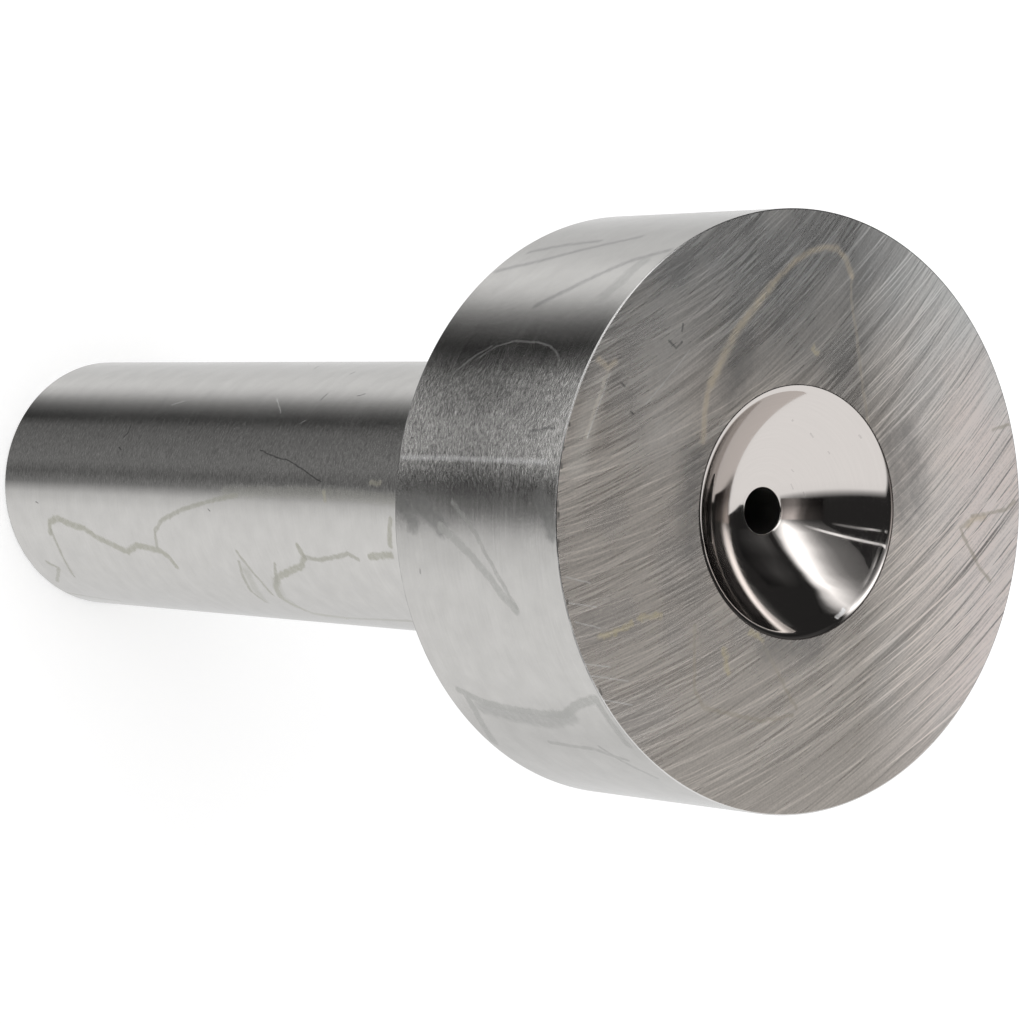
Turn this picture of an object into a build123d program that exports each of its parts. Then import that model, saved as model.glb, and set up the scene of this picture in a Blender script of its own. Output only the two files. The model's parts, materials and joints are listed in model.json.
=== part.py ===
# Sprue bushing of an injection mould: one turned, hardened and ground piece of tool steel.
# The axis is +Z, towards the nozzle. The origin is the centre of the shoulder, where the
# underside of the head seats on the mould plate, so the shank hangs below it.
from build123d import *
import os
from math import sqrt

# Head
head_diameter = 50.8
head_thickness = 22.6
face_edge_break = 0.15
shoulder_edge_break = 0.2

# Shank
shank_diameter = 25.4
shank_length = 88.9
shank_end_break = 0.25
shoulder_corner_radius = 0.5

# Concave seat in the head, which the ball-nosed nozzle presses against
seat_sphere_radius = 13.7
seat_mouth_diameter = 20.7
seat_edge_round = 0.5

# Tapered channel from the seat to the shank's end, which the plastic flows through
orifice_diameter = 3.97
orifice_edge_round = 0.1
channel_taper = 1 / 24

# Radii and heights that follow from these sizes
head_radius = head_diameter / 2
shank_radius = shank_diameter / 2
seat_mouth_radius = seat_mouth_diameter / 2
seat_centre_height = head_thickness + sqrt(seat_sphere_radius**2 - seat_mouth_radius**2)
orifice_radius = orifice_diameter / 2
orifice_height = seat_centre_height - sqrt(seat_sphere_radius**2 - orifice_radius**2)
channel_length = orifice_height + shank_length
channel_exit_radius = orifice_radius + channel_length * channel_taper / 2

# Corners of the half section, each as its radius and its height
orifice = (orifice_radius, orifice_height)
seat_mouth = (seat_mouth_radius, head_thickness)
face_rim = (head_radius, head_thickness)
shoulder_rim = (head_radius, 0)
shoulder_corner = (shank_radius, 0)
shank_end_rim = (shank_radius, -shank_length)
channel_exit = (channel_exit_radius, -shank_length)

with BuildPart() as sprue_bushing:
    with BuildSketch(Plane.XZ) as half_section:
        with BuildLine():
            # The seat is a zone of a sphere, so its half section is an arc about the axis
            RadiusArc(orifice, seat_mouth, -seat_sphere_radius)
            Polyline(
                seat_mouth,
                face_rim,
                shoulder_rim,
                shoulder_corner,
                shank_end_rim,
                channel_exit,
                orifice,
            )
        make_face()

        # Polished rounds at both ends of the seat, and the turned corner under the head
        fillet(half_section.vertices().sort_by_distance(seat_mouth)[0], seat_edge_round)
        fillet(half_section.vertices().sort_by_distance(orifice)[0], orifice_edge_round)
        fillet(half_section.vertices().sort_by_distance(shoulder_corner)[0], shoulder_corner_radius)

        # Outer edges, broken so that they don't cut; the channel's exit is left sharp
        chamfer(half_section.vertices().sort_by_distance(face_rim)[0], face_edge_break)
        chamfer(half_section.vertices().sort_by_distance(shoulder_rim)[0], shoulder_edge_break)
        chamfer(half_section.vertices().sort_by_distance(shank_end_rim)[0], shank_end_break)
    revolve(axis=Axis.Z)

os.makedirs("parts", exist_ok=True)
sprue_bushing.part.label = "sprue_bushing"
export_step(sprue_bushing.part, "parts/sprue_bushing.step")
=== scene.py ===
# Sprue bushing of an injection mould: sanded face, ground cylinders and a polished nozzle seat.
# It stands on its shank's end with the head up. Sizes in the dictionaries are in millimetres and
# degrees, and light and dark are plain strengths, where 1 is white.
import bpy
import json
from math import atan2, cos, degrees, pi, radians, sin, sqrt
from mathutils import Matrix, Vector


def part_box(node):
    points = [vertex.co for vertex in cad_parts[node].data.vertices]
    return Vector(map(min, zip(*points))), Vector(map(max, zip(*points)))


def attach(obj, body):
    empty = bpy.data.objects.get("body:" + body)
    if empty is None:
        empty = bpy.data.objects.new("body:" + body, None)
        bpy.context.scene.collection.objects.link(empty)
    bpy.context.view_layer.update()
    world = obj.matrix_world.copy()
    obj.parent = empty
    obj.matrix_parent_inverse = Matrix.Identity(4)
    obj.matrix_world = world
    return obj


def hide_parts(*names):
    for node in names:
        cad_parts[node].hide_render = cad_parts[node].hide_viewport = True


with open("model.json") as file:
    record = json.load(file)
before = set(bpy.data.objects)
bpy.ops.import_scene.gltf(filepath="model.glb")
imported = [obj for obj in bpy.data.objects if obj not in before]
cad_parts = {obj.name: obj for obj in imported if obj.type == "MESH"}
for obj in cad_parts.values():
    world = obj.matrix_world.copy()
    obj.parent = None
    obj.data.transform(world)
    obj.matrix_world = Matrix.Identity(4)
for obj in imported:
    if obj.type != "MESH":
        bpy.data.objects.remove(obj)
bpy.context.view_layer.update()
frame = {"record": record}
mm = 0.001
nodeName = "sprue_bushing"
lowCorner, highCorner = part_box(nodeName)
mounts = {mount["name"]: mount for mount in frame["record"]["mounts"]}
headRadius = highCorner.x
faceHeight = highCorner.z
endHeight = lowCorner.z
shankRadius = mounts["shank"]["dims"]["r_mm"] * mm
print("frame loaded")

# The photograph is square. Its camera looks down on the face and is turned a quarter round.
photo = {
    "side": 1024,  # pixels
    "place": (1.10, -222.60, 282.35),
    "tilt": 36.59,  # away from looking straight down the axis
    "roll": 92.69,
    "lens": 143.40,
    "sensor": 36,
    "clip": (0.01, 20),  # metres
}


def makeCamera():
    data = bpy.data.cameras.new("photoCamera")
    data.lens = photo["lens"]
    data.sensor_width = photo["sensor"]
    data.clip_start, data.clip_end = photo["clip"]
    camera = bpy.data.objects.new("photoCamera", data)
    bpy.context.scene.collection.objects.link(camera)
    tilt = Matrix.Rotation(radians(photo["tilt"]), 4, "X")
    roll = Matrix.Rotation(radians(photo["roll"]), 4, "Z")
    camera.matrix_world = Matrix.Translation(Vector(photo["place"]) * mm) @ tilt @ roll
    bpy.context.scene.camera = camera
    return Vector(photo["place"]) * mm, (tilt @ roll).to_3x3()


cameraPlace, cameraTurn = makeCamera()
print("camera placed")


def alongPixel(pixel):  # direction in which the camera sees a pixel
    half = photo["side"] / 2
    focal = photo["lens"] / photo["sensor"] * photo["side"]
    return cameraTurn @ Vector((pixel[0] - half, half - pixel[1], -focal)).normalized()


def onFace(pixel):
    ray = alongPixel(pixel)
    return cameraPlace + ray * ((faceHeight - cameraPlace.z) / ray.z)


def onCylinder(pixel, radius):
    ray = alongPixel(pixel)
    slope = ray.xy.length_squared
    towards = ray.xy.dot(cameraPlace.xy)
    past = cameraPlace.xy.length_squared - radius**2
    reach = (-towards - sqrt(towards**2 - slope * past)) / slope
    return cameraPlace + ray * reach


# A material being put together from nodes
class Finish:
    def __init__(self, name):
        self.material = bpy.data.materials.new(name)
        self.material.use_nodes = True
        self.tree = self.material.node_tree
        self.tree.nodes.clear()

    def add(self, kind, inputs=None, **settings):
        node = self.tree.nodes.new("ShaderNode" + kind)
        for name, value in settings.items():
            setattr(node, name, value)
        for socket, value in (inputs or {}).items():
            if isinstance(value, bpy.types.NodeSocket):
                self.tree.links.new(value, node.inputs[socket])
            else:
                node.inputs[socket].default_value = value
        return node

    def sum(self, operation, a, b=0.0, c=0.0, clamp=False):
        return self.add("Math", {0: a, 1: b, 2: c}, operation=operation, use_clamp=clamp).outputs[0]

    def vector(self, operation, a, b=(0, 0, 0), c=(0, 0, 0)):
        node = self.add("VectorMath", {0: a, 1: b, 2: c}, operation=operation)
        return node.outputs["Value" if operation in ("LENGTH", "DISTANCE", "DOT_PRODUCT") else "Vector"]

    def place(self):  # millimetres in the part's frame
        geometry = self.add("NewGeometry")
        return self.vector("MULTIPLY", geometry.outputs["Position"], (1 / mm, 1 / mm, 1 / mm))

    def noise(self, place, scale, detail=2.0, roughness=0.5, distortion=0.0):
        inputs = {"Vector": place, "Scale": scale, "Detail": detail}
        inputs |= {"Roughness": roughness, "Distortion": distortion}
        return self.add("TexNoise", inputs).outputs[0]

    def ramp(self, value, low, high, atLow=0.0, atHigh=1.0, kind="LINEAR"):
        inputs = {"Value": value, "From Min": low, "From Max": high, "To Min": atLow, "To Max": atHigh}
        return self.add("MapRange", inputs, interpolation_type=kind).outputs[0]

    def stretch(self, value, low, high, atLow=0.0, atHigh=1.0):  # a ramp that is smooth at its ends
        return self.ramp(value, low, high, atLow, atHigh, "SMOOTHSTEP")

    def swing(self, noise):  # above and below the middle of the noise
        return self.sum("SUBTRACT", noise, 0.5)

    def mix(self, factor, a, b, blend="MIX"):
        node = self.add("Mix", data_type="RGBA", blend_type=blend)
        for socket, value in zip((node.inputs[0], node.inputs[6], node.inputs[7]), (factor, a, b)):
            if isinstance(value, bpy.types.NodeSocket):
                self.tree.links.new(value, socket)
            else:
                socket.default_value = value if isinstance(value, float) else (*value, 1)
        return node.outputs[2]

    def shaded(self, colour, shade):
        grey = self.add("CombineXYZ", {0: shade, 1: shade, 2: shade}).outputs[0]
        return self.mix(1.0, colour, grey, "MULTIPLY")

    def finish(self, shader):
        self.add("OutputMaterial", {"Surface": shader})
        return self.material


# White paper floor under plain soft light. Cards that only the metal reflects stand in for the
# room: a dark side above the head, light boxes in it, and graded cards laid round the foot.
studio = {
    "floorSide": 6000,
    "floorColour": (0.8, 0.8, 0.8),
    "floorGlow": 0.40,  # brings the lit floor up to white for the camera and in the metal
    "worldForFloor": 0.75,
    "lampPower": 0.9,
    "lampPlace": (-250, -150, 500),
    "lampSide": 500,
    "roomRadius": 600,
    "roomTop": (0.027, 0.965, 0.26),  # middle of the dark side as the camera sees it: right, up, near
    "roomTone": 0.021,
    "roomEdge": ((88, 0.025), (91, 0.45), (93.5, 0.97), (100, 1.0)),
    "hangGap": 30,  # between one light in the dark side and the next
}

# Graded cards on the floor. Each column starts at the steel and runs the way it reflects the
# camera. It has a turn on the steel, from the camera's side towards -X, a tone, and a nearest
# and farthest reach.
gradedCards = {
    "shankCard": {
        "radius": shankRadius,
        "lift": 0.06,
        "tones": ((-90, 0.85), (-60, 0.94), (-24, 0.96), (-12, 0.90), (-6, 0.72), (-1, 0.25), (4, 0.15),
                  (9, 0.22), (16, 0.20), (26, 0.16), (31, 0.05), (34, 0.09), (38, 0.20), (42, 0.40),
                  (46, 0.74), (51, 0.94), (60, 0.88), (72, 0.90), (90, 1.0)),
        "reaches": ((-90, 0, 70), (90, 0, 70)),
    },
    "headCard": {
        "radius": headRadius,
        "lift": 0.03,
        "tones": ((-90, 0.95), (-64, 0.90), (-52, 0.82), (-40, 0.94), (-16, 0.88), (-8, 0.70), (-3, 0.18),
                  (2, 0.05), (5, 0.10), (9, 0.22), (14, 0.22), (19, 0.12), (24, 0.15), (27, 0.07), (31, 0.01),
                  (36, 0.12), (40, 0.36), (44, 0.76), (49, 1.00), (57, 0.80), (66, 0.76), (78, 0.92),
                  (90, 1.05)),
        "reaches": ((-90, 58, 110), (2, 58, 110), (5, 60, 92), (9, 62, 88), (14, 62, 88), (19, 62, 90),
                    (24, 60, 94), (27, 58, 120), (31, 58, 140), (36, 58, 120), (40, 58, 110), (90, 58, 110)),
    },
}

# Shades on the floor beyond those cards, which give the other sides of the steel some contrast.
# Each turn, from the camera's side towards -X, has its tone.
floorShades = {
    "nearest": 150,
    "farthest": 2500,
    "turns": ((0, 0.9), (12, 0.35), (30, 0.2), (40, 0.9), (62, 1.0), (75, 0.3), (92, 0.18), (112, 0.8),
              (150, 1.0), (172, 0.4), (196, 0.2), (215, 0.9), (258, 1.0), (275, 0.35), (296, 0.18),
              (312, 0.85), (345, 1.0), (360, 0.9)),
}

# Lights in the dark side, as the camera sees them. A row of a sheet gives the degrees above the
# line of sight, a strength, and the degrees to the right of it for each of the sheet's tones.
lightSheets = {
    "keySheet": {
        "tones": (0.04, 0.25, 1.4, 2.7, 1.5, 0.75, 0.38, 0.20, 0.11),
        "rows": ((3, 0.25, 69, 66, 63, 58, 54, 49, 45, 40, 30),
                 (7, 0.75, 69, 66, 62, 57, 52, 47, 43, 38, 26),
                 (12, 0.85, 69, 66, 61, 55, 45, 40, 35, 29, 16),
                 (18, 1.00, 65, 62, 58, 51, 44, 38, 32, 26, 10),
                 (24, 1.00, 61, 59, 55, 47, 40, 33, 27, 20, 4),
                 (30, 1.00, 56.5, 54.5, 51, 44, 38, 32, 25, 17, 0),
                 (36, 1.00, 52, 50, 47, 41, 35, 28, 22, 14, -2),
                 (42, 0.95, 47, 45, 42, 37, 32, 25, 18, 10, -5),
                 (48, 0.80, 43.5, 41.5, 38.5, 33, 27, 17, 9, 2, -8),
                 (54, 0.60, 38, 36, 32.5, 26, 16, 8, 2, -3, -10),
                 (60, 0.50, 38, 35, 31, 22, 10, 3, -1, -5, -10),
                 (66, 0.45, 37, 32, 26, 16, 8, 2, -2, -6, -10),
                 (73, 0.20, 36, 30, 20, 13, 6, 2, -1, -4, -8)),
    },
    "besideKey": {
        "tones": (0.02, 0.05, 0.09, 0.05),
        "rows": ((3, 0.6, 104, 92, 82, 77), (18, 1.0, 102, 88, 76, 69), (30, 0.5, 98, 82, 68, 60),
                 (42, 0.7, 86, 74, 66, 52), (52, 0.3, 76, 66, 58, 46)),
    },
    "warmSheet": {
        "tones": (0.03, 0.05, 0.07, 0.09, 0.13, 0.42, 0.66, 0.74, 0.22, 0.07, 0.02),
        "rows": ((3, 1.0, 102, 90, 82, 75, 66, 60, 56, 51, 46, 41, 28),
                 (0, 0.9, 100, 89, 82, 75, 66, 60, 56, 51, 46, 41, 28),
                 (-3, 0.65, 98, 88, 82, 75, 66, 60, 56, 50, 45, 40, 28),
                 (-7, 0.35, 94, 87, 82, 75, 66, 60, 56, 50, 44, 38, 28),
                 (-12, 0.3, 90, 85, 80, 75, 66, 60, 56, 50, 44, 38, 28)),
        "colour": (1.0, 0.93, 0.90),
    },
    "darkCorner": {
        "tones": (0.02, 0.02, 0.02, 0.02),
        "rows": ((10, 1, 88, 98, 110, 126), (2, 1, 87, 97, 106, 115), (-4, 1, 87, 93, 99, 104),
                 (-8, 1, 87, 90, 94, 98)),
    },
    "backSheet": {
        "tones": (0.02, 0.12, 0.25, 1.2),
        "rows": ((86, 1, 60, 74, 86, 98), (76, 1, 70, 82, 94, 106), (66, 1, 78, 90, 102, 114),
                 (54, 1, 88, 98, 110, 122), (42, 0.6, 98, 110, 118, 130)),
    },
    "frontSheet": {
        "tones": (0.3, 1.3, 1.3),
        "rows": ((4, 1, -20, -22, -48), (22, 1, -14, -16, -48), (30, 1, -9, -11, -46), (36, 1, -6, -8, -46),
                 (42, 1, -4, -6, -46), (48, 1, 0, -2, -46), (54, 1, 3, 1, -46), (60, 1, 7, 5, -44),
                 (66, 1, 11, 9, -42), (78, 1, 14, 10, -30)),
    },
}

# Thin strips of light: degrees to the right, degrees up and tone of each point
lightStrips = {
    "thinStrip": {
        "width": 1.6,
        "points": ((43, 7, 0.3), (36, 9, 0.6), (30, 10.6, 1.0), (18, 13.7, 1.4), (3, 17.3, 1.1),
                   (-12, 20.7, 0.9)),
    },
    "faintStrip": {
        "width": 1.4,
        "points": ((22, 5.8, 0.06), (16, 6.8, 0.22), (3, 9, 0.35), (-6, 10, 0.70), (-12, 11, 0.30)),
    },
}


def newObject(name, data):
    made = bpy.data.objects.new(name, data)
    bpy.context.scene.collection.objects.link(made)
    return made


def makeFloor():
    side = studio["floorSide"] * mm / 2
    data = bpy.data.meshes.new("floor")
    corners = [(-side, -side), (side, -side), (side, side), (-side, side)]
    data.from_pydata([(x, y, endHeight) for x, y in corners], [], [(0, 1, 2, 3)])
    floor = newObject("floor", data)
    paper = Finish("whitePaper")
    path = paper.add("LightPath")
    seen = paper.sum("ADD", path.outputs["Is Camera Ray"], path.outputs["Is Glossy Ray"])
    seen = paper.sum("ADD", seen, path.outputs["Is Transmission Ray"], clamp=True)
    matt = paper.add("BsdfDiffuse", {"Color": (*studio["floorColour"], 1)})
    glow = paper.add("Emission", {"Strength": paper.sum("MULTIPLY", seen, studio["floorGlow"])})
    both = paper.add("AddShader", {0: matt.outputs[0], 1: glow.outputs[0]})
    data.materials.append(paper.finish(both.outputs[0]))
    paper.material.cycles.emission_sampling = "NONE"
    return floor


# A card with a tone at every corner, which only the metal reflects
def makeCard(name, places, faces, tones, colour=(1, 1, 1)):
    data = bpy.data.meshes.new(name)
    data.from_pydata(places, [], faces)
    tone = data.attributes.new("tone", "FLOAT", "POINT")
    tone.data.foreach_set("value", tones)
    paint = Finish(name)
    level = paint.add("Attribute", attribute_name="tone", attribute_type="GEOMETRY").outputs["Fac"]
    glow = paint.add("Emission", {"Color": (*colour, 1), "Strength": level})
    data.materials.append(paint.finish(glow.outputs[0]))
    paint.material.cycles.emission_sampling = "NONE"
    card = newObject(name, data)
    card.visible_camera = False
    card.visible_diffuse = False
    card.visible_transmission = False
    card.visible_shadow = False
    card.visible_volume_scatter = False
    return card


def gridFaces(rows, columns):
    return [(row * columns + column, row * columns + column + 1, (row + 1) * columns + column + 1,
             (row + 1) * columns + column) for row in range(rows - 1) for column in range(columns - 1)]


def between(keys, at):  # the values of the keys on both sides, mixed
    for before, after in zip(keys, keys[1:]):
        if at <= after[0]:
            share = (at - before[0]) / (after[0] - before[0])
            return [low + (high - low) * share for low, high in zip(before[1:], after[1:])]
    return list(keys[-1][1:])


def makeGradedCard(name, spec):
    turns = range(-90, 91)
    places = []
    tones = []
    for turn in turns:
        nearest, farthest = between(spec["reaches"], turn)
        start = Vector((-sin(radians(turn)), -cos(radians(turn)), 0)) * spec["radius"]
        way = Vector((-sin(radians(2 * turn)), -cos(radians(2 * turn)), 0)) * mm
        for reach in (nearest, farthest):
            foot = start + way * reach
            places.append((foot.x, foot.y, endHeight + spec["lift"] * mm))
            tones += between(spec["tones"], turn)
    return makeCard(name, places, gridFaces(len(turns), 2), tones)


def makeFloorShades(spec):
    turns = range(0, 361, 2)
    places = []
    tones = []
    for turn in turns:
        way = Vector((-sin(radians(turn)), -cos(radians(turn)), 0)) * mm
        for reach in (spec["nearest"], spec["farthest"]):
            foot = way * reach
            places.append((foot.x, foot.y, endHeight + gradedCards["headCard"]["lift"] * mm))
            tones += between(spec["turns"], turn)
    return makeCard("floorShades", places, gridFaces(len(turns), 2), tones)


# Half a ball that fades into the white side at its edge
def makeDarkRoom():
    falls = [10 * row for row in range(9)] + [84, 86, 88, 89, 90, 91, 92, 93, 93.5, 95, 97, 100]
    columns = 73
    top = cameraTurn @ Vector(studio["roomTop"]).normalized()
    side = top.cross(Vector((0, 0, 1))).normalized()
    other = top.cross(side)
    centre = Vector((0, 0, faceHeight))
    keys = ((0, studio["roomTone"]),) + studio["roomEdge"]
    places = []
    tones = []
    for fall in falls:
        for column in range(columns):
            turn = 2 * pi * column / (columns - 1)
            out = top * cos(radians(fall)) + (side * cos(turn) + other * sin(turn)) * sin(radians(fall))
            places.append(centre + out * studio["roomRadius"] * mm)
            tones += between(keys, fall)
    return makeCard("darkRoom", places, gridFaces(len(falls), columns), tones)


def asSeen(right, up):  # direction at so many degrees to the right of and above the line of sight
    angle = radians(sqrt(right**2 + up**2))
    away = sin(angle) / angle
    return cameraTurn @ Vector((away * radians(right), away * radians(up), cos(angle)))


def hungAt(right, up, order):  # every light hangs in front of the one before it
    reach = studio["roomRadius"] - studio["hangGap"] * (order + 1)
    return Vector((0, 0, faceHeight)) + asSeen(right, up) * reach * mm


def makeLightSheet(name, spec, order):
    places = []
    tones = []
    for up, strength, *rights in spec["rows"]:
        places += [hungAt(right, up, order) for right in rights]
        tones += [strength * tone for tone in spec["tones"]]
    faces = gridFaces(len(spec["rows"]), len(spec["tones"]))
    return makeCard(name, places, faces, tones, spec.get("colour", (1, 1, 1)))


def makeLightStrip(name, spec, order):
    places = []
    tones = []
    for right, up, tone in spec["points"]:
        for aside in (-0.5, 0.5):
            places.append(hungAt(right, up + aside * spec["width"], order))
            tones.append(tone)
    return makeCard(name, places, gridFaces(len(spec["points"]), 2), tones)


def makeLamp():
    data = bpy.data.lights.new("softLamp", "AREA")
    data.energy = studio["lampPower"]
    data.size = studio["lampSide"] * mm
    lamp = newObject("softLamp", data)
    lamp.location = Vector(studio["lampPlace"]) * mm
    lamp.rotation_euler = (-lamp.location).to_track_quat("-Z", "Y").to_euler()
    lamp.visible_glossy = False
    lamp.visible_camera = False


# White all round, a little lower where it lights the floor
def makeWorld():
    world = bpy.data.worlds.new("studioWorld")
    bpy.context.scene.world = world
    world.use_nodes = True
    tree = world.node_tree
    tree.nodes.clear()
    path = tree.nodes.new("ShaderNodeLightPath").outputs
    seen = path["Is Camera Ray"]
    for way in ("Is Glossy Ray", "Is Transmission Ray"):
        either = tree.nodes.new("ShaderNodeMath")
        either.operation = "MAXIMUM"
        tree.links.new(seen, either.inputs[0])
        tree.links.new(path[way], either.inputs[1])
        seen = either.outputs[0]
    level = tree.nodes.new("ShaderNodeMapRange")
    level.inputs["To Min"].default_value = studio["worldForFloor"]
    level.inputs["To Max"].default_value = 1.0
    tree.links.new(seen, level.inputs["Value"])
    background = tree.nodes.new("ShaderNodeBackground")
    background.inputs["Color"].default_value = (1, 1, 1, 1)
    tree.links.new(level.outputs["Result"], background.inputs["Strength"])
    output = tree.nodes.new("ShaderNodeOutputWorld")
    tree.links.new(background.outputs[0], output.inputs["Surface"])
    world.cycles.sampling_method = "NONE"


makeWorld()
makeLamp()
stagePieces = [makeFloor(), makeDarkRoom(), makeFloorShades(floorShades)]
stagePieces += [makeGradedCard(name, spec) for name, spec in gradedCards.items()]
for order, (name, spec) in enumerate(lightSheets.items()):
    stagePieces.append(makeLightSheet(name, spec, order))
stagePieces += [makeLightStrip(name, spec, len(lightSheets)) for name, spec in lightStrips.items()]
print("studio built")

# Turned shape, as one closed half section swept round the axis
bushing = {
    "seatSphereRadius": 13.7,
    "seatMouthDiameter": 20.7,
    "seatEdgeRound": 0.8,
    "orificeDiameter": 3.97,
    "orificeEdgeRound": 0.1,
    "channelTaper": 1 / 24,
    "faceEdgeBreak": 0.10,
    "shoulderEdgeBreak": 0.2,
    "shankEndBreak": 0.25,
    "shoulderCorner": 0.5,
    "stepsRound": 720,
    "steps": {"bore": 30, "seat": 60, "lip": 10, "face": 10, "headSide": 12, "shoulder": 8,
              "shankSide": 40, "corner": 8, "break": 6, "end": 6},
    "sharpAngle": 30,
    "guard": 0.04,  # rings this close to an edge keep its shading off the surface beside it
}


def straight(start, end, steps):
    guard = bushing["guard"] * mm / (Vector(end) - Vector(start)).length
    shares = [0, guard] + [step / steps for step in range(1, steps)] + [1 - guard, 1]
    return [tuple(Vector(start).lerp(Vector(end), share)) for share in shares]


def bow(centre, radius, fromTurn, toTurn, steps):
    points = []
    for step in range(steps + 1):
        turn = radians(fromTurn + (toTurn - fromTurn) * step / steps)
        points.append((centre[0] + radius * cos(turn), centre[1] + radius * sin(turn)))
    return points


def turnTowards(centre, point):
    return degrees(atan2(point[1] - centre[1], point[0] - centre[0]))


# Every stretch gives its finish and its points, as the radius and the height
def halfSection():
    sphere = bushing["seatSphereRadius"] * mm
    mouth = bushing["seatMouthDiameter"] * mm / 2
    mouthRound = bushing["seatEdgeRound"] * mm
    orifice = bushing["orificeDiameter"] * mm / 2
    orificeRound = bushing["orificeEdgeRound"] * mm
    taper = bushing["channelTaper"] / 2
    ball = (0, faceHeight + sqrt(sphere**2 - mouth**2))
    lipHeight = faceHeight - mouthRound
    lip = (sqrt((sphere + mouthRound) ** 2 - (ball[1] - lipHeight) ** 2), lipHeight)
    floorOfSeat = ball[1] - sqrt(sphere**2 - orifice**2)
    throat = orifice + orificeRound
    throat = (throat, ball[1] - sqrt((sphere + orificeRound) ** 2 - throat**2))
    exitRadius = orifice + (floorOfSeat - endHeight) * taper
    faceBreak = bushing["faceEdgeBreak"] * mm
    shoulderBreak = bushing["shoulderEdgeBreak"] * mm
    endBreak = bushing["shankEndBreak"] * mm
    corner = bushing["shoulderCorner"] * mm
    lipTurn = turnTowards(ball, lip)
    throatTurn = turnTowards(ball, throat)
    steps = bushing["steps"]
    topBreak = (headRadius - faceBreak, faceHeight - faceBreak)
    lowBreak = (headRadius - shoulderBreak, shoulderBreak)
    footBreak = (shankRadius - endBreak, endHeight + endBreak)
    return [
        ("bore", straight((exitRadius, endHeight), (throat[0] - orificeRound, throat[1]), steps["bore"])),
        ("seat", bow(throat, orificeRound, 180, throatTurn + 180, steps["break"])),
        ("seat", bow(ball, sphere, throatTurn, lipTurn, steps["seat"])),
        ("seat", bow(lip, mouthRound, lipTurn + 180, 90, steps["lip"])),
        ("face", straight((lip[0], faceHeight), (topBreak[0], faceHeight), steps["face"])),
        ("edge", bow(topBreak, faceBreak, 90, 0, steps["break"])),
        ("headSide", straight((headRadius, topBreak[1]), (headRadius, shoulderBreak), steps["headSide"])),
        ("edge", bow(lowBreak, shoulderBreak, 0, -90, steps["break"])),
        ("turned", straight((lowBreak[0], 0), (shankRadius + corner, 0), steps["shoulder"])),
        ("turned", bow((shankRadius + corner, -corner), corner, 90, 180, steps["corner"])),
        ("shankSide", straight((shankRadius, -corner), (shankRadius, footBreak[1]), steps["shankSide"])),
        ("edge", bow(footBreak, endBreak, 0, -90, steps["break"])),
        ("turned", straight((footBreak[0], endHeight), (exitRadius, endHeight), steps["end"])),
    ]


def makeBushing(finishes):
    rings = []
    bands = []
    for finish, points in halfSection():
        rings += points[:-1]
        bands += [finish] * (len(points) - 1)
    steps = bushing["stepsRound"]
    places = []
    for radius, height in rings:
        for step in range(steps):
            turn = 2 * pi * step / steps
            places.append((radius * cos(turn), radius * sin(turn), height))
    faces = []
    for ring in range(len(rings)):
        here = ring * steps
        below = (ring + 1) % len(rings) * steps
        for step in range(steps):
            after = (step + 1) % steps
            faces.append((here + step, below + step, below + after, here + after))
    data = bpy.data.meshes.new("sprueBushing")
    data.from_pydata(places, [], faces)
    names = list(finishes)
    for name in names:
        data.materials.append(finishes[name])
    numbers = [names.index(band) for band in bands for step in range(steps)]
    data.polygons.foreach_set("material_index", numbers)
    data.shade_smooth()
    data.set_sharp_from_angle(angle=radians(bushing["sharpAngle"]))
    made = newObject("sprueBushing", data)
    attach(made, "root")
    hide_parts(nodeName)


# Bare steel: its colour, and how much darker it reflects at a grazing angle
steel = {
    "colour": (0.60, 0.597, 0.588),
    "grazing": (0.82, 0.82, 0.82),
}

# Face sanded by hand, in arcs about a point beyond the upper left of the photograph. Down the
# photograph runs X, and to its right runs Y.
face = {
    "sandingMiddle": (-67, -48),
    "sandingRadius": 83,
    "anisotropy": 0.78,
    "scratchHeight": 0.0022,
    "cut": 0.4,  # how much deeper a light or dark line is cut than the rest
    "lineShares": {"fine": 0.7, "fineAslant": 0.7, "middle": 0.5, "coarse": 0.1},
    "lineLevel": 1.0,  # middle of those four together
    "lineShade": (-0.2, 0.2, 0.79, 1.21),
    "lineRoughness": 0.08,
    "wornBetween": (0.35, 0.6, 0.5, 1.0),
    "lightBetween": (0.625, 0.665),  # levels at which a line begins and is whole
    "darkBetween": (0.62, 0.70),
    "patches": (0.16, 3.0),
    "patchRoughness": 0.14,
    "patchWarmth": (0.3, 0.7, -0.2, 0.2),
    "warmBetween": (-22, -4),
    "grain": (6.0, 2.0, 0.7),
    "grainShade": 0.48,
    "paleSide": (6.5, 20.5),  # where the right side begins to be sanded harder and painted paler, and where it is
    "paleLean": -0.08,
    "roughness": (0.28, 0.52),  # this and the next four: on the left, and on the right
    "lightRoughness": (0.0, 0.12),
    "lightShade": (0.24, 0.85),
    "darkShade": (-0.05, -0.45),
    # this and the next two: painted light and shade, the face paler to the right, and darker at its top and
    # towards its bottom
    "paintedLightRight": (1.0, 1.46),
    "paintedShadeHigh": (-16, 2, 0.94, 1.02),  # from the top of the photograph to its middle
    "paintedShadeLow": (2, 23, 1.0, 0.82),  # and from there to its bottom
    "shadeLimit": 1.54,  # keeps the palest scratches in the steel's own colour
    "warm": (0.648, 0.600, 0.552),
    "warmRight": (0.642, 0.590, 0.568),
}

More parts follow.
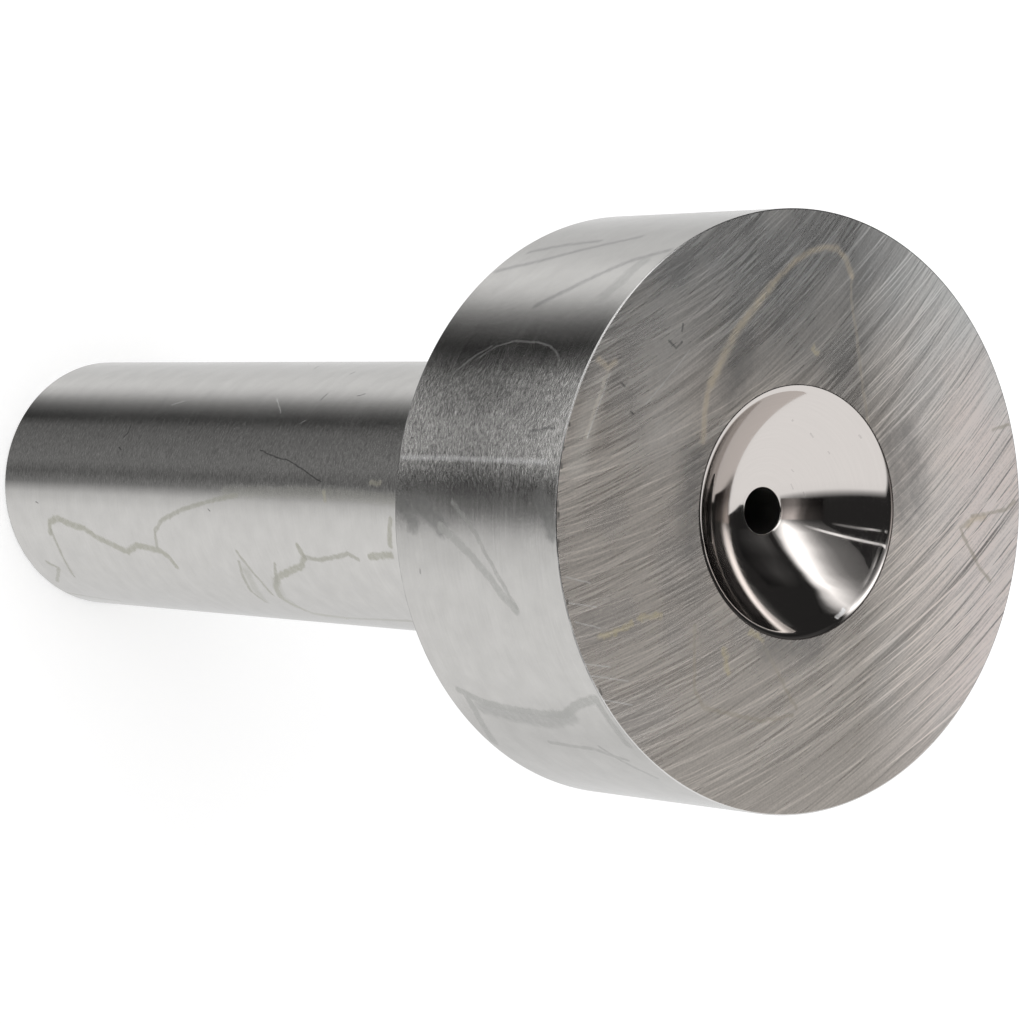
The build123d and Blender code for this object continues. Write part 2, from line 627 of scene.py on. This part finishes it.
# Layers of scratches: lines per millimetre across and along them, how far they lean out of the
# arcs, their detail, and where in the noise they lie
scratchLayers = {
    "fine": (8.0, 0.035, 0.0, 0.5, 1.5),
    "fineAslant": (6.5, 0.035, 0.07, 0.5, 3.5),
    "middle": (4.4, 0.030, -0.06, 0.5, 5.5),
    "coarse": (1.9, 0.012, 0.02, 1.0, 7.5),
    "light": (6.5, 0.030, -0.10, 0.5, 11.5),
    "dark": (5.5, 0.032, 0.03, 0.5, 13.5),
    "worn": (0.28, 0.07, 0.01, 1.5, 17.5),
}

# Dried oil, hairlines and nicks, each a stroke through pixels of the photograph. A group has the
# half width of its strokes, their softness and wobble, and how they colour and dull the steel.
faceMarks = {
    "oil": {
        "width": 0.38, "soft": 0.8, "wobble": 0.25, "colour": (0.48, 0.40, 0.27), "cover": 0.62, "matt": 0.42,
        "paths": {
            "loopLow": ((711, 384), (720, 364), (736, 332), (754, 308), (772, 285)),
        },
    },
    "narrowOil": {
        "width": 0.27, "soft": 0.8, "wobble": 0.25, "colour": (0.46, 0.38, 0.26), "cover": 0.60, "matt": 0.36,
        "paths": {
            "loopFoot": ((703, 441), (705, 410), (708, 391)),
            "yellowFork": ((599, 360), (608, 368), (615, 362)),
            "rightCluster": ((967, 526), (973, 519), (984, 517)),
            "loopTop": ((776, 280), (795, 261), (811, 251), (826, 247), (838, 249), (846, 259), (852, 276)),
        },
    },
    "thinOil": {
        "width": 0.16, "soft": 0.7, "wobble": 0.4, "colour": (0.34, 0.30, 0.24), "cover": 0.62, "matt": 0.34,
        "paths": {
            "loopRight": ((852, 276), (851, 296), (855, 323), (862, 380), (868, 423)),
            "lowerLeft": ((695, 626), (694, 689), (704, 708), (761, 721), (793, 715)),
            "lowerRight": ((796, 708), (786, 689), (769, 656), (757, 632)),
            "rightEdge": ((969, 521), (961, 528), (963, 535), (979, 567), (990, 581)),
            "rightUpper": ((972, 516), (991, 513), (1006, 509), (1015, 501)),
            "brownMark": ((993, 430), (1008, 425)),
            "tallMark": ((608, 372), (596, 405), (585, 439)),
        },
    },
    "yellowSpots": {
        "width": 0.24, "soft": 0.7, "wobble": 0.9, "colour": (0.48, 0.41, 0.22), "cover": 0.52, "matt": 0.32,
        "paths": {
            "lowLeft": ((600, 637), (616, 632), (632, 624)),
            "low": ((640, 618), (660, 615)),
            "middle": ((724, 650), (727, 672)),
            "underSeat": ((750, 632), (764, 640)),
            "aboveSeat": ((814, 348), (817, 353)),
        },
    },
    # Dark patches, partly dirt and partly painted shade: those beside the seat paint the dark that the sanded
    # steel round it reflects
    "smudgesAndPaintedShade": {
        "width": 1.3, "soft": 0.9, "wobble": 1.2, "colour": (0.25, 0.25, 0.25), "cover": 0.48, "matt": 0.0,
        "paths": {
            "leftOfSeat": ((694, 455), (690, 545)),
            "rightOfSeat": ((890, 440), (899, 480), (901, 515)),
            "fartherRight": ((904, 436), (915, 470), (916, 500)),
            "aboveSeat": ((742, 352), (733, 392)),
            "underSeat": ((770, 646), (815, 642)),
        },
    },
    "paleSteel": {
        "width": 3.2, "soft": 0.95, "wobble": 1.5, "colour": (0.98, 0.96, 0.93), "cover": 0.34, "matt": 0.0,
        "paths": {"leftOfLoop": ((664, 345), (652, 378), (655, 425))},
    },
    "paleFilm": {
        "width": 0.9, "soft": 0.7, "wobble": 0.8, "colour": (0.74, 0.71, 0.66), "cover": 0.40, "matt": 0.12,
        "paths": {"alongRim": ((600, 378), (588, 420), (577, 468))},
    },
    "hairlines": {
        "width": 0.09, "soft": 0.8, "wobble": 0.15, "colour": (0.10, 0.10, 0.10), "cover": 0.65, "matt": 0.0,
        "paths": {
            "smallDash": ((683, 324), (682, 331)),
            "smallHook": ((669, 341), (676, 348), (682, 342)),
            "dotOne": ((622, 383), (625, 386)),
            "dotTwo": ((631, 412), (633, 414)),
        },
    },
    "rimDots": {
        "width": 0.13, "soft": 0.6, "wobble": 0.3, "colour": (0.11, 0.11, 0.105), "cover": 0.75, "matt": 0.0,
        "paths": {
            "one": ((569, 422), (569, 425)),
            "two": ((564, 448), (563, 450)),
            "three": ((561, 464), (561, 468)),
            "four": ((558, 502), (558, 505)),
            "five": ((558, 513), (558, 519)),
            "six": ((558, 541), (558, 546)),
            "seven": ((567, 601), (567, 603)),
            "eight": ((600, 690), (601, 694)),
        },
    },
    "lightScratches": {
        "width": 0.06, "soft": 0.6, "wobble": 0.1, "colour": (0.95, 0.94, 0.92), "cover": 0.55, "matt": 0.0,
        "paths": {
            "long": ((690, 350), (668, 378), (646, 404)),
            "left": ((610, 374), (587, 438)),
            "rimOne": ((566, 577), (590, 583)),
            "rimTwo": ((569, 603), (596, 607)),
            "rimThree": ((575, 622), (600, 628)),
            "rimFour": ((586, 664), (610, 667)),
            "rimFive": ((592, 676), (628, 681)),
            "rimSix": ((604, 700), (632, 705)),
        },
    },
}


def faceSpot(pixel):
    place = onFace(pixel) / mm
    return Vector((place.x, place.y, 0))


def cylinderSpot(pixel, radius):  # round and along the cylinder, unrolled
    place = onCylinder(pixel, radius) / mm
    return Vector((radius / mm * atan2(place.x, -place.y), place.z, 0))


# The same for every group of marks: the noise that shakes a stroke, and what wears it thin
marking = {
    "shake": (1.3, 2.0),
    "wear": (1.6, 3.0, 0.6),
    "wornBetween": (0.3, 0.6, 0.65, 1.0),
    "farAway": 1000.0,
}


# How much a group of strokes covers each place of the unrolled surface
def strokeCover(finish, flat, spec, spot):
    scale, detail = marking["shake"]
    wobble = spec["wobble"]
    shake = finish.add("TexNoise", {"Vector": flat, "Scale": scale, "Detail": detail}).outputs["Color"]
    shift = finish.vector("MULTIPLY_ADD", shake, (wobble, wobble, 0), (-wobble / 2, -wobble / 2, 0))
    shaken = finish.vector("ADD", flat, shift)
    nearest = marking["farAway"]
    for pixels in spec["paths"].values():
        spots = [spot(pixel) for pixel in pixels]
        for start, end in zip(spots, spots[1:]):
            way = end - start
            pull = way / way.length_squared
            share = finish.vector("DOT_PRODUCT", shaken, pull)
            share = finish.sum("SUBTRACT", share, start.dot(pull), clamp=True)
            foot = finish.add("VectorMath", {0: way, "Scale": share}, operation="SCALE").outputs[0]
            apart = finish.vector("DISTANCE", finish.vector("SUBTRACT", shaken, foot), start)
            nearest = finish.sum("MINIMUM", apart, nearest)
    width = spec["width"]
    return finish.stretch(nearest, width * (1 - spec["soft"]), width * (1 + spec["soft"]), 1.0, 0.0)


# The colour under the marks of all groups, and what they leave of the steel's metal shine
def addMarks(finish, flat, groups, spot, colour):
    metallic = 1.0
    worn = finish.stretch(finish.noise(flat, *marking["wear"]), *marking["wornBetween"])
    for spec in groups.values():
        cover = finish.sum("MULTIPLY", strokeCover(finish, flat, spec, spot), worn)
        colour = finish.mix(finish.sum("MULTIPLY", cover, spec["cover"]), colour, spec["colour"])
        if spec["matt"]:
            metallic = finish.sum("MULTIPLY_ADD", cover, -spec["matt"], metallic)
    return colour, metallic


def metal(finish, colour, roughness, anisotropy=0.0, tangent=None, normal=None, metallic=1.0):
    inputs = {"Base Color": colour if isinstance(colour, bpy.types.NodeSocket) else (*colour, 1)}
    inputs |= {"Metallic": metallic, "Roughness": roughness, "Anisotropic": anisotropy}
    inputs["Specular Tint"] = (*steel["grazing"], 1)
    if tangent is not None:
        inputs["Tangent"] = tangent
    if normal is not None:
        inputs["Normal"] = normal
    return finish.finish(finish.add("BsdfPrincipled", inputs).outputs[0])


def bump(finish, height, deep, normal=None):
    inputs = {"Height": height, "Distance": deep * mm, "Strength": 1.0}
    if normal is not None:
        inputs["Normal"] = normal
    return finish.add("Bump", inputs).outputs[0]


def sandedFace():
    finish = Finish("sandedFace")
    place = finish.place()
    down, sideways = finish.add("SeparateXYZ", {0: place}).outputs[:2]
    away = finish.vector("SUBTRACT", place, (*face["sandingMiddle"], 0))
    away = finish.vector("MULTIPLY", away, (1, 1, 0))
    across = finish.vector("LENGTH", away)
    parts = finish.add("SeparateXYZ", {0: away}).outputs
    along = finish.sum("MULTIPLY", finish.sum("ARCTAN2", parts[1], parts[0]), face["sandingRadius"])
    right = finish.sum("MULTIPLY_ADD", down, face["paleLean"], sideways)
    right = finish.ramp(right, *face["paleSide"])

    def scratches(name):
        acrossPerMm, alongPerMm, lean, detail, layer = scratchLayers[name]
        leaning = finish.sum("MULTIPLY_ADD", along, lean, across)
        flow = finish.add("CombineXYZ", {0: leaning, 1: along, 2: 0.0}).outputs[0]
        stretched = finish.vector("MULTIPLY_ADD", flow, (acrossPerMm, alongPerMm, 0), (0, 0, layer))
        return finish.noise(stretched, 1.0, detail, 0.55)

    def toRight(name):  # a value that changes from the left of the face to its right
        return finish.ramp(right, 0.0, 1.0, *face[name])

    worn = finish.stretch(scratches("worn"), *face["wornBetween"])
    light = finish.stretch(scratches("light"), *face["lightBetween"])
    dark = finish.stretch(scratches("dark"), *face["darkBetween"])
    lines = -face["lineLevel"]
    for name, share in face["lineShares"].items():
        lines = finish.sum("MULTIPLY_ADD", scratches(name), share, lines)
    lines = finish.sum("MULTIPLY", lines, worn)
    patches = finish.noise(place, *face["patches"])
    grain = finish.noise(place, *face["grain"])

    # Sanded harder to the right, where the rougher steel takes in the light beside the dark side
    rough = finish.sum("MULTIPLY_ADD", lines, face["lineRoughness"], toRight("roughness"))
    rough = finish.sum("MULTIPLY_ADD", finish.swing(patches), face["patchRoughness"], rough)
    rough = finish.sum("MULTIPLY_ADD", light, toRight("lightRoughness"), rough)
    cuts = finish.sum("MULTIPLY", finish.sum("ADD", light, dark), face["cut"])
    normal = bump(finish, finish.sum("SUBTRACT", lines, cuts), face["scratchHeight"])

    warmth = finish.stretch(down, *face["warmBetween"])
    warmth = finish.sum("ADD", warmth, finish.stretch(patches, *face["patchWarmth"]), clamp=True)
    tint = finish.mix(warmth, steel["colour"], finish.mix(right, face["warm"], face["warmRight"]))
    shade = finish.ramp(lines, *face["lineShade"])
    shade = finish.sum("MULTIPLY_ADD", light, toRight("lightShade"), shade)
    shade = finish.sum("MULTIPLY_ADD", dark, toRight("darkShade"), shade)
    shade = finish.sum("MULTIPLY_ADD", finish.swing(grain), face["grainShade"], shade)
    # Painted light and shade: paler to the right, darker at the top and towards the bottom
    shade = finish.sum("MULTIPLY", shade, toRight("paintedLightRight"))
    for part in ("paintedShadeHigh", "paintedShadeLow"):
        shade = finish.sum("MULTIPLY", shade, finish.ramp(down, *face[part]))
    shade = finish.sum("MINIMUM", shade, face["shadeLimit"])
    flat = finish.vector("MULTIPLY", place, (1, 1, 0))
    colour, metallic = addMarks(finish, flat, faceMarks, faceSpot, finish.shaded(tint, shade))
    radial = finish.vector("NORMALIZE", away)
    return metal(finish, colour, rough, face["anisotropy"], radial, normal, metallic)


# Outside cylinders, ground between centres, with a fine broken grain
ground = {
    "grain": (2.4, 2.4, 6.5),  # per millimetre
    "lines": (0.25, 0.25, 8.0),
    "patches": (0.12, 3.0),
    "mottle": (0.45, 2.0, 0.5),
    "roughBetween": (0.7, 1.3),
    "lineShade": (0.3, 0.7, 0.97, 1.03),
    "mottleShade": (0.3, 0.7, 0.96, 1.04),
    "colour": (0.607, 0.597, 0.580),
    "head": {
        "radius": headRadius,
        "roughness": (0.12, 0.20),
        "anisotropy": 0.45,
        "grainHeight": 0.006,
        "lineHeight": 0.0016,
        "grainGlintFrom": (-13.5, -10.5),  # millimetres round the head, where the grain's glints are painted into the colour
        "grainGlintTo": (-1.3, 0.5),
        "grainGlintDepth": 2.3,
    },
    "shank": {
        "radius": shankRadius,
        "roughness": (0.14, 0.20),
        "anisotropy": 0.40,
        "grainHeight": 0.004,
        "lineHeight": 0.0012,
        "grainGlintFrom": (-8.5, -6.0),
        "grainGlintTo": (-0.5, 0.8),
        "grainGlintDepth": 1.3,
    },
}

shankMarks = {
    "film": {
        "width": 0.55, "soft": 0.6, "wobble": 0.6, "colour": (0.47, 0.465, 0.42), "cover": 0.55, "matt": 0.30,
        "paths": {
            "fish": ((247, 572), (254, 587), (263, 599)),
            "right": ((276, 582), (282, 596), (296, 606)),
            "besideDark": ((225, 492), (290, 492), (340, 494), (396, 500)),
        },
    },
    "oil": {
        "width": 0.34, "soft": 0.5, "wobble": 0.5, "colour": (0.41, 0.405, 0.34), "cover": 0.80, "matt": 0.45,
        "paths": {
            "leftLoop": ((50, 533), (50, 522), (57, 518), (72, 525), (85, 529), (98, 538), (113, 545),
                         (128, 552), (137, 545), (148, 548), (160, 551), (168, 556), (176, 566)),
            "rightMain": ((298, 546), (304, 557), (302, 566), (290, 571), (278, 577), (276, 587), (281, 598),
                          (296, 606), (315, 614), (345, 618)),
            "rightEnd": ((370, 557), (391, 555)),
            "shoulder": ((390, 520), (390, 545)),
        },
    },
    "thinOil": {
        "width": 0.22, "soft": 0.6, "wobble": 0.4, "colour": (0.40, 0.395, 0.34), "cover": 0.75, "matt": 0.40,
        "paths": {
            "leftTail": ((51, 530), (59, 548), (66, 563), (74, 576)),
            "lowTail": ((47, 562), (59, 568), (57, 581)),
            "middle": ((237, 495), (210, 501), (181, 510), (162, 520), (155, 531), (157, 547)),
            "fishBack": ((237, 552), (246, 564), (260, 580), (272, 594)),
            "fishBelly": ((239, 562), (243, 576), (252, 592), (266, 602)),
            "rightBranch": ((275, 564), (277, 582)),
            "rightUpper": ((304, 557), (319, 560), (336, 557), (348, 554), (358, 559)),
            "rightLow": ((345, 618), (411, 621)),
            "foot": ((62, 592), (92, 597), (120, 601)),
        },
    },
    "yellowSpots": {
        "width": 0.25, "soft": 0.6, "wobble": 0.5, "colour": (0.46, 0.43, 0.30), "cover": 0.5, "matt": 0.35,
        "paths": {"one": ((324, 492), (325, 500)), "two": ((371, 483), (380, 483))},
    },
    "hairlines": {
        "width": 0.06, "soft": 0.6, "wobble": 0.3, "colour": (0.10, 0.10, 0.10), "cover": 0.8, "matt": 0.0,
        "paths": {
            "long": ((260, 450), (275, 457), (290, 461), (302, 469), (321, 482)),
            "short": ((131, 425), (128, 433), (124, 437)),
            "nickOne": ((321, 400), (327, 394)),
            "nickTwo": ((357, 396), (365, 394)),
            "nickThree": ((314, 369), (319, 366)),
            "nickFour": ((350, 374), (355, 372)),
            "dotOne": ((208, 509), (210, 511)),
            "dotTwo": ((36, 502), (38, 503)),
            "dotThree": ((119, 447), (121, 450)),
        },
    },
    "lightScratches": {
        "width": 0.06, "soft": 0.6, "wobble": 0.2, "colour": (1.0, 1.0, 1.0), "cover": 0.4, "matt": 0.20,
        "paths": {
            "one": ((172, 405), (184, 401)),
            "two": ((277, 399), (281, 413)),
            "three": ((300, 424), (306, 420)),
        },
    },
}

headMarks = {
    "film": {
        "width": 0.75, "soft": 0.5, "wobble": 0.8, "colour": (0.40, 0.40, 0.385), "cover": 0.6, "matt": 0.20,
        "paths": {
            "patch": ((480, 707), (512, 716), (545, 722), (572, 716)),
            "nearRim": ((606, 294), (622, 280), (642, 262)),
        },
    },
    "greyFilm": {
        "width": 0.85, "soft": 0.5, "wobble": 0.9, "colour": (0.30, 0.30, 0.29), "cover": 0.8, "matt": 0.25,
        "paths": {
            "leftEnd": ((402, 502), (408, 513), (413, 523)),
            "tongueTop": ((418, 504), (430, 514), (442, 527)),
            "rimGrey": ((540, 498), (547, 514), (552, 532)),
        },
    },
    "oil": {
        "width": 0.42, "soft": 0.4, "wobble": 0.4, "colour": (0.44, 0.44, 0.42), "cover": 0.75, "matt": 0.38,
        "paths": {
            "tongueLeft": ((440, 526), (455, 539), (472, 557), (490, 578), (506, 600), (516, 610)),
            "patchUpper": ((459, 690), (484, 702), (512, 709), (543, 714), (564, 715), (577, 705),
                           (588, 701), (596, 699)),
            "patchLeft": ((466, 695), (476, 712), (487, 731), (494, 742)),
            "patchRight": ((598, 703), (612, 724), (628, 745)),
        },
    },
    "thinOil": {
        "width": 0.24, "soft": 0.5, "wobble": 0.4, "colour": (0.42, 0.42, 0.40), "cover": 0.7, "matt": 0.34,
        "paths": {
            "tongueRight": ((452, 502), (465, 518), (476, 533), (487, 556), (501, 581), (516, 607)),
            "patchLine": ((549, 742), (571, 746), (594, 749), (616, 757), (627, 760)),
            "patchTail": ((600, 747), (622, 761), (657, 778)),
        },
    },
    "softDark": {
        "width": 0.30, "soft": 0.9, "wobble": 0.4, "colour": (0.24, 0.24, 0.24), "cover": 0.5, "matt": 0.0,
        "paths": {
            "upperLine": ((497, 271), (540, 261), (590, 248), (640, 237)),
            "lowerLine": ((537, 305), (565, 291), (598, 275), (630, 261), (670, 250)),
            "topLine": ((530, 252), (565, 245), (600, 241)),
        },
    },
    "thinDark": {
        "width": 0.11, "soft": 0.7, "wobble": 0.3, "colour": (0.20, 0.20, 0.20), "cover": 0.6, "matt": 0.0,
        "paths": {
            "dot": ((420, 570), (420, 573)),
            "brownMark": ((530, 431), (545, 428), (555, 429)),
        },
    },
    "lightLines": {
        "width": 0.09, "soft": 0.7, "wobble": 0.2, "colour": (0.80, 0.80, 0.79), "cover": 0.22, "matt": 0.15,
        "paths": {
            "arch": ((480, 357), (497, 346), (515, 341), (537, 342), (550, 346), (557, 353), (560, 361)),
            "archTwo": ((455, 372), (475, 356), (492, 346)),
        },
    },
    # Painted highlight: a soft white line along the head's length
    "paintedHighlightLine": {
        "width": 0.20, "soft": 0.95, "wobble": 0.2, "colour": (1.0, 1.0, 1.0), "cover": 0.45, "matt": 0.25,
        "paths": {"level": ((402, 457), (450, 458), (500, 460), (545, 462))},
    },
}


def groundSteel(name, spec, marks):
    finish = Finish(name)
    place = finish.place()
    spots = finish.add("SeparateXYZ", {0: place}).outputs
    turn = finish.sum("ARCTAN2", spots[0], finish.sum("MULTIPLY", spots[1], -1.0))
    around = finish.sum("MULTIPLY", turn, spec["radius"] / mm)
    flat = finish.add("CombineXYZ", {0: around, 1: spots[2], 2: 0.0}).outputs[0]
    grain = finish.noise(finish.vector("MULTIPLY", place, ground["grain"]), 1.0, 2.0, 0.6)
    lines = finish.noise(finish.vector("MULTIPLY", place, ground["lines"]), 1.0, 3.0, 0.6)
    patches = finish.noise(place, *ground["patches"])
    mottle = finish.noise(flat, *ground["mottle"])
    normal = bump(finish, grain, spec["grainHeight"])
    normal = bump(finish, lines, spec["lineHeight"], normal)
    rough = finish.sum("ADD", lines, patches)
    rough = finish.ramp(rough, *ground["roughBetween"], *spec["roughness"])
    shade = finish.ramp(lines, *ground["lineShade"])
    shade = finish.sum("MULTIPLY", shade, finish.ramp(mottle, *ground["mottleShade"]))
    # Painted glints: the grain sparkles in the colour within a band round the cylinder
    begun = finish.stretch(around, *spec["grainGlintFrom"])
    band = finish.sum("SUBTRACT", begun, finish.stretch(around, *spec["grainGlintTo"]))
    speck = finish.sum("MULTIPLY", finish.swing(grain), spec["grainGlintDepth"])
    shade = finish.sum("MULTIPLY_ADD", speck, band, shade)

    def spot(pixel):
        return cylinderSpot(pixel, spec["radius"])

    colour, metallic = addMarks(finish, flat, marks, spot, finish.shaded(ground["colour"], shade))
    axial = finish.add("CombineXYZ", {"X": 0.0, "Y": 0.0, "Z": 1.0}).outputs[0]
    return metal(finish, colour, rough, spec["anisotropy"], axial, normal, metallic)


# Seat polished while it turned, so that what is left of the marks runs round it
polish = {
    "anisotropy": 0.6,
    "roughness": (0.04, 0.10),
    "roughBetween": (0.75, 1.3),
    "marks": 7.0,  # per millimetre outwards
    "marksRound": 0.22,
    "markHeight": 0.0005,
    "markShade": (0.3, 0.7, 0.985, 1.015),
    "smears": (0.35, 3.0),
    "colour": (0.668, 0.630, 0.605),
}

seatMarks = {
    "specks": {
        "width": 0.06, "soft": 0.7, "wobble": 0.3, "colour": (0.34, 0.33, 0.32), "cover": 0.28, "matt": 0.2,
        "paths": {
            "one": ((810, 434), (813, 438)),
            "two": ((791, 484), (793, 489)),
            "three": ((792, 470), (794, 472)),
            "four": ((803, 492), (805, 497)),
            "five": ((859, 435), (861, 438)),
            "six": ((828, 452), (829, 454)),
            "seven": ((792, 420), (793, 421)),
        },
    },
    "nick": {
        "width": 0.15, "soft": 0.5, "wobble": 0.5, "colour": (1.0, 1.0, 1.0), "cover": 0.85, "matt": 0.55,
        "paths": {"rim": ((837, 618), (844, 609))},
    },
}


def seatSpot(pixel):  # where the line of sight meets the ball on its far side
    ray = alongPixel(pixel)
    sphere = bushing["seatSphereRadius"] * mm
    height = faceHeight + sqrt(sphere**2 - (bushing["seatMouthDiameter"] * mm / 2) ** 2)
    offset = cameraPlace - Vector((0, 0, height))
    towards = ray.dot(offset)
    place = cameraPlace + ray * (sqrt(towards**2 - offset.length_squared + sphere**2) - towards)
    return Vector((place.x / mm, place.y / mm, 0))


def polishedSeat():
    finish = Finish("polishedSeat")
    place = finish.place()
    flat = finish.vector("MULTIPLY", place, (1, 1, 0))
    outward = finish.sum("MULTIPLY", finish.vector("LENGTH", flat), polish["marks"])
    outward = finish.add("CombineXYZ", {0: 0.0, 1: 0.0, 2: outward}).outputs[0]
    marksRound = (polish["marksRound"], polish["marksRound"], 0)
    marks = finish.noise(finish.vector("MULTIPLY_ADD", flat, marksRound, outward), 1.0, 3.0, 0.6)
    smears = finish.noise(place, *polish["smears"])
    rough = finish.sum("ADD", marks, smears)
    rough = finish.ramp(rough, *polish["roughBetween"], *polish["roughness"])
    normal = bump(finish, marks, polish["markHeight"])
    sideways = finish.vector("CROSS_PRODUCT", (0, 0, 1), flat)
    surface = finish.add("NewGeometry").outputs["Normal"]
    meridian = finish.vector("NORMALIZE", finish.vector("CROSS_PRODUCT", sideways, surface))
    colour = finish.shaded(polish["colour"], finish.ramp(marks, *polish["markShade"]))
    colour, metallic = addMarks(finish, flat, seatMarks, seatSpot, colour)
    return metal(finish, colour, rough, polish["anisotropy"], meridian, normal, metallic)


# Surfaces that were only turned or reamed
plain = {
    # the reamed bore's steel darker than the rest, partly as painted shade of its depth
    "bore": {"colour": (0.42, 0.41, 0.40), "roughness": 0.35},
    "turned": {"colour": steel["colour"], "roughness": 0.3},
    "grain": (4.0, 3.0),
    "grainHeight": 0.004,
}


def plainSteel(name, spec):
    finish = Finish(name)
    grain = finish.noise(finish.place(), *plain["grain"])
    normal = bump(finish, grain, plain["grainHeight"])
    return metal(finish, spec["colour"], spec["roughness"], normal=normal)


edge = {
    "bright": (0.70, 0.695, 0.685),
    # the painted shade where the edge catches no light
    "worn": (0.30, 0.295, 0.29),
    "paintedShadeFrom": (-7, -3),  # painted shade between these places along X, in millimetres
    "paintedShadeTo": (13, 17),
    "chips": (1.1, 3.0, 0.65),
    "chipped": (0.35, 0.55, 0.55, 1.0),
    "chipHeight": 0.01,
    "roughness": 0.22,
}


def brokenEdge():
    finish = Finish("brokenEdge")
    place = finish.place()
    down = finish.add("SeparateXYZ", {0: place}).outputs[0]
    # Painted shade on the edges along part of X, broken up by chips
    begun = finish.stretch(down, *edge["paintedShadeFrom"])
    worn = finish.sum("SUBTRACT", begun, finish.stretch(down, *edge["paintedShadeTo"]))
    chips = finish.noise(place, *edge["chips"])
    worn = finish.sum("MULTIPLY", worn, finish.stretch(chips, *edge["chipped"]))
    colour = finish.mix(worn, edge["bright"], edge["worn"])
    return metal(finish, colour, edge["roughness"], normal=bump(finish, chips, edge["chipHeight"]))


makeBushing({
    "face": sandedFace(),
    "headSide": groundSteel("groundHead", ground["head"], headMarks),
    "shankSide": groundSteel("groundShank", ground["shank"], shankMarks),
    "seat": polishedSeat(),
    "bore": plainSteel("reamedBore", plain["bore"]),
    "edge": brokenEdge(),
    "turned": plainSteel("turnedSteel", plain["turned"]),
})
print("bushing made")

bpy.context.scene.view_settings.view_transform = "Standard"
